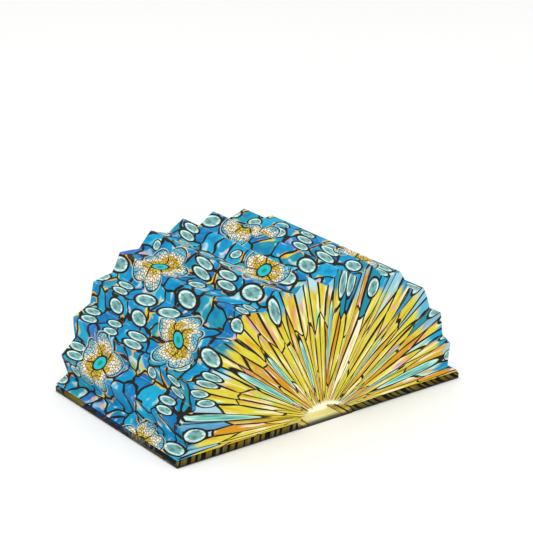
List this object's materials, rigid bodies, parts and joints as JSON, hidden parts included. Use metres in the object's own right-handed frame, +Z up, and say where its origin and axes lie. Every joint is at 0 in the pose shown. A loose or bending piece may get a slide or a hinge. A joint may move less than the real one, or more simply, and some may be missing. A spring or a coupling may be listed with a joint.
{
  "type": "folding book lamp",
  "caption": "Lamp shaped like a small hardback book: two hinged covers open flat and fan out a pleated paper shade over a glowing light bar along the spine.",
  "frame": {"origin": "middle of the spine's underside, on the table, with the lamp open flat", "axes": "+X across the open covers to the right cover, +Y along the spine away from the viewer, +Z up from the table through the shade's middle"},
  "size_m": [0.1994, 0.122, 0.0863],
  "materials": {
    "grey_board": "matte",
    "spine_print": "satin",
    "cover_print": "satin",
    "endpaper": "satin",
    "joint_cloth": "satin",
    "shade_paper": "satin",
    "frosted_plastic": "frosted",
    "tray_plastic": "matte",
    "circuit_white": "satin",
    "led_phosphor": "satin",
    "plated_steel": "bright",
    "cell_pouch": "satin",
    "circuit_green": "satin",
    "reed_glass": "clear",
    "lead_sleeve": "matte",
    "magnet_nickel": "bright"
  },
  "bodies": {
    "spine": {"spine_card": "grey_board", "spine_wrap": "spine_print", "bar_tray": "tray_plastic", "diffuser": "frosted_plastic", "end_cap_near": "frosted_plastic", "end_cap_far": "frosted_plastic", "led_board": "circuit_white", "led_chips": "led_phosphor", "board_screws": "plated_steel", "battery": "cell_pouch", "charge_board": "circuit_green", "charge_socket": "plated_steel", "reed_switch": "reed_glass", "power_leads": "lead_sleeve", "pleat_07": "shade_paper"},
    "right_cover": {"board_right": "grey_board", "wrap_right": "cover_print", "liner_right": "endpaper", "magnets_right": "magnet_nickel", "joint_right": "joint_cloth", "pleat_01": "shade_paper"},
    "left_cover": {"board_left": "grey_board", "wrap_left": "cover_print", "liner_left": "endpaper", "magnets_left": "magnet_nickel", "joint_left": "joint_cloth", "pleat_13": "shade_paper"},
    "fold_02": {"pleat_02": "shade_paper"},
    "fold_12": {"pleat_12": "shade_paper"},
    "fold_03": {"pleat_03": "shade_paper"},
    "fold_11": {"pleat_11": "shade_paper"},
    "fold_04": {"pleat_04": "shade_paper"},
    "fold_10": {"pleat_10": "shade_paper"},
    "fold_05": {"pleat_05": "shade_paper"},
    "fold_09": {"pleat_09": "shade_paper"},
    "fold_06": {"pleat_06": "shade_paper"},
    "fold_08": {"pleat_08": "shade_paper"}
  },
  "joints": [
    {"name": "left_cover_hinge", "type": "hinge", "parent": "spine", "child": "left_cover", "pos_m": [-0.0117, 0, 0], "axis": [0, 1, 0], "range_deg": [0, 90], "deforming": ["joint_left", "pleat_13"]},
    {"name": "right_cover_hinge", "type": "hinge", "parent": "spine", "child": "right_cover", "pos_m": [0.0117, 0, 0], "axis": [0, -1, 0], "range_deg": [0, 90], "deforming": ["joint_right", "pleat_01", "pleat_07"]},
    {"name": "fold_02_swing", "type": "hinge", "parent": "spine", "child": "fold_02", "pos_m": [0.0117, 0, 0], "axis": [0, -1, 0], "range_deg": [0, 72.45], "deforming": ["pleat_02"]},
    {"name": "fold_03_swing", "type": "hinge", "parent": "spine", "child": "fold_03", "pos_m": [0.0117, 0, 0], "axis": [0, -1, 0], "range_deg": [0, 57.96], "deforming": ["pleat_03"]},
    {"name": "fold_04_swing", "type": "hinge", "parent": "spine", "child": "fold_04", "pos_m": [0.0117, 0, 0], "axis": [0, -1, 0], "range_deg": [0, 43.46], "deforming": ["pleat_04"]},
    {"name": "fold_05_swing", "type": "hinge", "parent": "spine", "child": "fold_05", "pos_m": [0.0117, 0, 0], "axis": [0, -1, 0], "range_deg": [0, 28.98], "deforming": ["pleat_05"]},
    {"name": "fold_06_swing", "type": "hinge", "parent": "spine", "child": "fold_06", "pos_m": [0.0117, 0, 0], "axis": [0, -1, 0], "range_deg": [0, 14.49], "deforming": ["pleat_06"]},
    {"name": "fold_08_swing", "type": "hinge", "parent": "spine", "child": "fold_08", "pos_m": [-0.0117, 0, 0], "axis": [0, 1, 0], "range_deg": [0, 14.49], "deforming": ["pleat_08"]},
    {"name": "fold_09_swing", "type": "hinge", "parent": "spine", "child": "fold_09", "pos_m": [-0.0117, 0, 0], "axis": [0, 1, 0], "range_deg": [0, 28.98], "deforming": ["pleat_09"]},
    {"name": "fold_10_swing", "type": "hinge", "parent": "spine", "child": "fold_10", "pos_m": [-0.0117, 0, 0], "axis": [0, 1, 0], "range_deg": [0, 43.46], "deforming": ["pleat_10"]},
    {"name": "fold_11_swing", "type": "hinge", "parent": "spine", "child": "fold_11", "pos_m": [-0.0117, 0, 0], "axis": [0, 1, 0], "range_deg": [0, 57.96], "deforming": ["pleat_11"]},
    {"name": "fold_12_swing", "type": "hinge", "parent": "spine", "child": "fold_12", "pos_m": [-0.0117, 0, 0], "axis": [0, 1, 0], "range_deg": [0, 72.45], "deforming": ["pleat_12"]}
  ],
  "couplings": [
    {"joint": "fold_02_swing", "follows": "right_cover_hinge", "ratio": 0.805},
    {"joint": "fold_03_swing", "follows": "right_cover_hinge", "ratio": 0.644},
    {"joint": "fold_04_swing", "follows": "right_cover_hinge", "ratio": 0.4829},
    {"joint": "fold_05_swing", "follows": "right_cover_hinge", "ratio": 0.322},
    {"joint": "fold_06_swing", "follows": "right_cover_hinge", "ratio": 0.161},
    {"joint": "fold_08_swing", "follows": "left_cover_hinge", "ratio": 0.161},
    {"joint": "fold_09_swing", "follows": "left_cover_hinge", "ratio": 0.322},
    {"joint": "fold_10_swing", "follows": "left_cover_hinge", "ratio": 0.4829},
    {"joint": "fold_11_swing", "follows": "left_cover_hinge", "ratio": 0.644},
    {"joint": "fold_12_swing", "follows": "left_cover_hinge", "ratio": 0.805}
  ]
}
